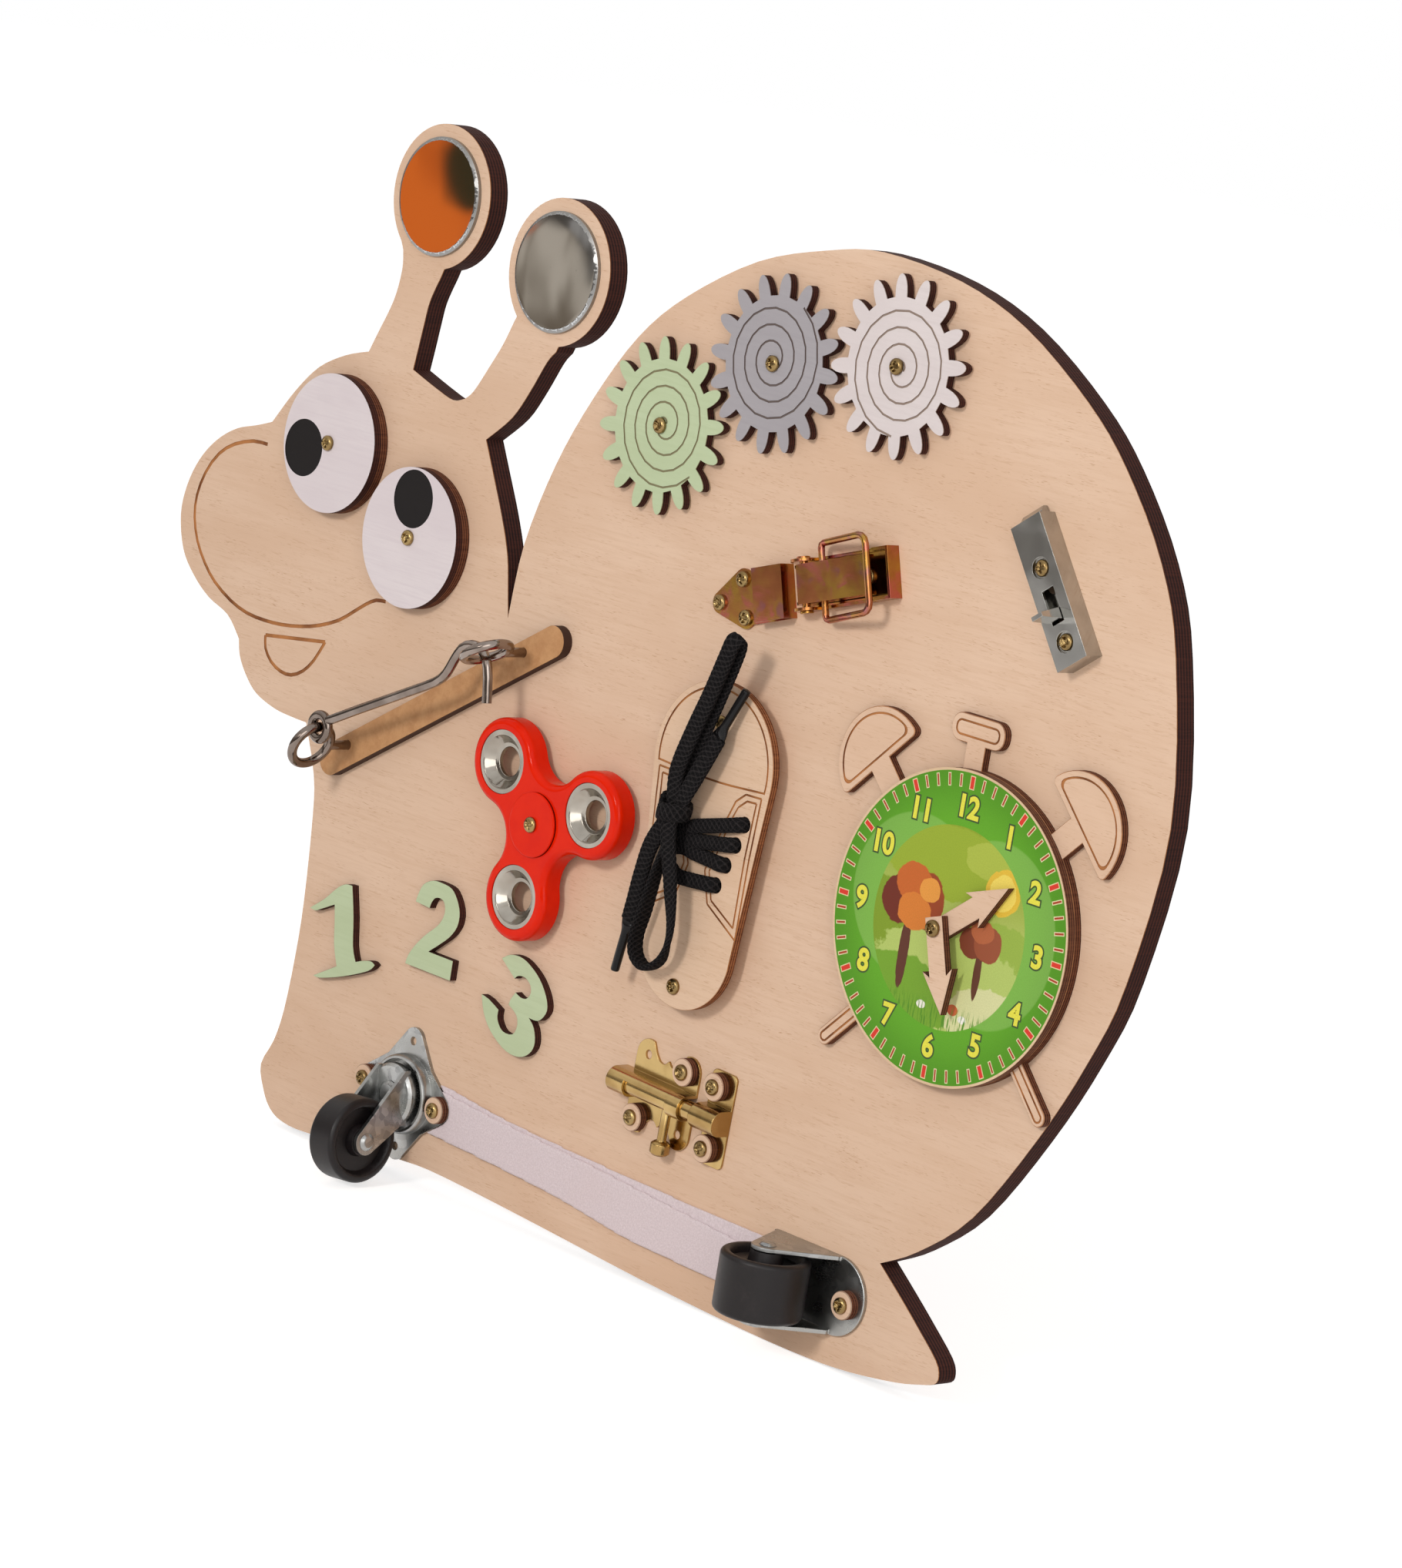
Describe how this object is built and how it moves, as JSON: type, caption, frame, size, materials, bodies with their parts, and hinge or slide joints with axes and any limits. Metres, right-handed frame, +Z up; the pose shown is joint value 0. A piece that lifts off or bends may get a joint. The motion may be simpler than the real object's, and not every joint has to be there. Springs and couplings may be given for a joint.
{
  "type": "busy board",
  "caption": "Snail-shaped plywood busy board with turning eyes and gears, clock hands, spinner, laced shoe, hook, latch, bolts and two small casters.",
  "frame": {"origin": "middle of the board's back face, in the plane of that face", "axes": "+Y out of the back face, so the toys face -Y; +Z up the board, +X from the head towards the shell"},
  "size_m": [0.4839, 0.0463, 0.3604],
  "materials": {
    "birch_ply": "natural birch plywood, laser cut",
    "stained_bar": "tan fibreboard",
    "green_ply": "pale green paint on plywood",
    "grey_ply": "grey paint on plywood",
    "white_ply": "off-white paint on plywood",
    "dial_print": "printed plywood",
    "acrylic_mirror": "mirror acrylic",
    "red_plastic": "gloss",
    "cast_zinc": "turned",
    "bearing_steel": "ground",
    "nickel": "nickel plated",
    "yellow_zinc": "iridescent yellow zinc",
    "bright_zinc": "bright zinc",
    "brass": "brassed steel",
    "screw_zinc": "yellow zinc screw",
    "black_wheel": "hard black plastic",
    "black_lace": "flat braid",
    "black_aglet": "shrunk film",
    "tape_cloth": "woven nylon"
  },
  "bodies": {
    "board": {"board": "birch_ply", "mirror_left": "acrylic_mirror", "mirror_right": "acrylic_mirror", "gear_washers": "bright_zinc", "hook_bar": "stained_bar", "screw_eye_left": "nickel", "screw_eye_right": "nickel", "bearing_inner": "bearing_steel", "spinner_cap": "red_plastic", "spinner_spacer": "bearing_steel", "shoe_plate": "birch_ply", "shoe_spacers": "birch_ply", "lace_crossings": "black_lace", "lace_knot": "black_lace", "lace_upper": "black_lace", "lace_lower": "black_lace", "lace_aglets": "black_aglet", "digit_one": "green_ply", "digit_two": "green_ply", "digit_three": "green_ply", "clock_plate": "birch_ply", "clock_dial": "dial_print", "latch_base": "yellow_zinc", "latch_pin": "yellow_zinc", "latch_strike": "yellow_zinc", "catch_housing": "bright_zinc", "catch_spring": "bearing_steel", "bolt_plate": "brass", "bolt_keeper": "brass", "pivot_screws": "screw_zinc", "fixing_screws": "screw_zinc", "plywood_washers": "birch_ply", "swivel_plate": "bright_zinc", "fixed_bracket": "bright_zinc", "fixed_axle": "bright_zinc", "loop_tape": "tape_cloth", "hook_tape": "tape_cloth"},
    "eye_left": {"eye_left": "white_ply", "eye_left_backing": "birch_ply"},
    "eye_right": {"eye_right": "white_ply", "eye_right_backing": "birch_ply"},
    "gear_green": {"gear_green": "green_ply"},
    "gear_grey": {"gear_grey": "grey_ply"},
    "gear_white": {"gear_white": "white_ply"},
    "cabin_hook": {"cabin_hook": "nickel"},
    "spinner": {"spinner_body": "red_plastic", "spinner_weights": "cast_zinc", "bearing_outer": "bearing_steel", "bearing_balls": "bearing_steel"},
    "minute_hand": {"minute_hand": "birch_ply"},
    "hour_hand": {"hour_hand": "birch_ply"},
    "latch_lever": {"latch_lever": "yellow_zinc"},
    "latch_bail": {"latch_bail": "yellow_zinc"},
    "catch_bolt": {"catch_bolt": "bright_zinc"},
    "bolt_rod": {"bolt_rod": "brass"},
    "bolt_knob": {"bolt_knob": "brass"},
    "swivel_fork": {"swivel_fork": "bright_zinc", "swivel_axle": "bright_zinc"},
    "swivel_wheel": {"swivel_wheel": "black_wheel"},
    "fixed_wheel": {"fixed_wheel": "black_wheel"}
  },
  "joints": [
    {"name": "eye_left_turn", "type": "hinge", "parent": "board", "child": "eye_left", "pos_m": [-0.1597, -0.011, 0.0615], "axis": [0, -1, 0], "continuous": true},
    {"name": "eye_right_turn", "type": "hinge", "parent": "board", "child": "eye_right", "pos_m": [-0.1108, -0.011, 0.0377], "axis": [0, -1, 0], "continuous": true},
    {"name": "gear_grey_turn", "type": "hinge", "parent": "board", "child": "gear_grey", "pos_m": [0.048, -0.01, 0.127], "axis": [0, -1, 0], "continuous": true},
    {"name": "gear_green_turn", "type": "hinge", "parent": "board", "child": "gear_green", "pos_m": [0.00112, -0.01, 0.09805], "axis": [0, -1, 0], "continuous": true},
    {"name": "gear_white_turn", "type": "hinge", "parent": "board", "child": "gear_white", "pos_m": [0.10239, -0.01, 0.13581], "axis": [0, -1, 0], "continuous": true},
    {"name": "cabin_hook_lift", "type": "hinge", "parent": "board", "child": "cabin_hook", "pos_m": [-0.12566, -0.0285, -0.03246], "axis": [0, -1, 0], "range_deg": [0, 180]},
    {"name": "spinner_spin", "type": "hinge", "parent": "board", "child": "spinner", "pos_m": [-0.0224, -0.0145, -0.0424], "axis": [0, -1, 0], "continuous": true},
    {"name": "minute_hand_turn", "type": "hinge", "parent": "board", "child": "minute_hand", "pos_m": [0.165, -0.0157, -0.03], "axis": [0, -1, 0], "continuous": true},
    {"name": "hour_hand_turn", "type": "hinge", "parent": "board", "child": "hour_hand", "pos_m": [0.165, -0.019, -0.03], "axis": [0, -1, 0], "continuous": true},
    {"name": "latch_lever_lift", "type": "hinge", "parent": "board", "child": "latch_lever", "pos_m": [0.0787, -0.0126, 0.0608], "axis": [0.314, 0, -0.9494], "range_deg": [0, 100]},
    {"name": "latch_bail_swing", "type": "hinge", "parent": "latch_lever", "child": "latch_bail", "pos_m": [0.08696, -0.0131, 0.06353], "axis": [0.314, 0, -0.9494], "range_deg": [-8, 88]},
    {"name": "catch_bolt_slide", "type": "slide", "parent": "board", "child": "catch_bolt", "axis": [-0.5948, 0, 0.8039], "range_m": [0, 0.006]},
    {"name": "bolt_rod_slide", "type": "slide", "parent": "board", "child": "bolt_rod", "axis": [-0.9994, 0, 0.0349], "range_m": [0, 0.0095]},
    {"name": "bolt_knob_turn", "type": "hinge", "parent": "bolt_rod", "child": "bolt_knob", "pos_m": [0.0484, -0.0128, -0.1167], "axis": [-0.9994, 0, 0.0349], "range_deg": [0, 80]},
    {"name": "caster_swivel", "type": "hinge", "parent": "board", "child": "swivel_fork", "pos_m": [-0.0754, -0.014, -0.151], "axis": [0, -1, 0], "continuous": true},
    {"name": "swivel_wheel_roll", "type": "hinge", "parent": "swivel_fork", "child": "swivel_wheel", "pos_m": [-0.07414, -0.0315, -0.16545], "axis": [0.9962, 0, 0.0872], "continuous": true},
    {"name": "fixed_wheel_roll", "type": "hinge", "parent": "board", "child": "fixed_wheel", "pos_m": [0.1228, -0.0262, -0.1576], "axis": [0, 0, 1], "continuous": true}
  ],
  "couplings": [
    {"joint": "gear_green_turn", "follows": "gear_grey_turn", "ratio": -1},
    {"joint": "gear_white_turn", "follows": "gear_grey_turn", "ratio": -1}
  ]
}
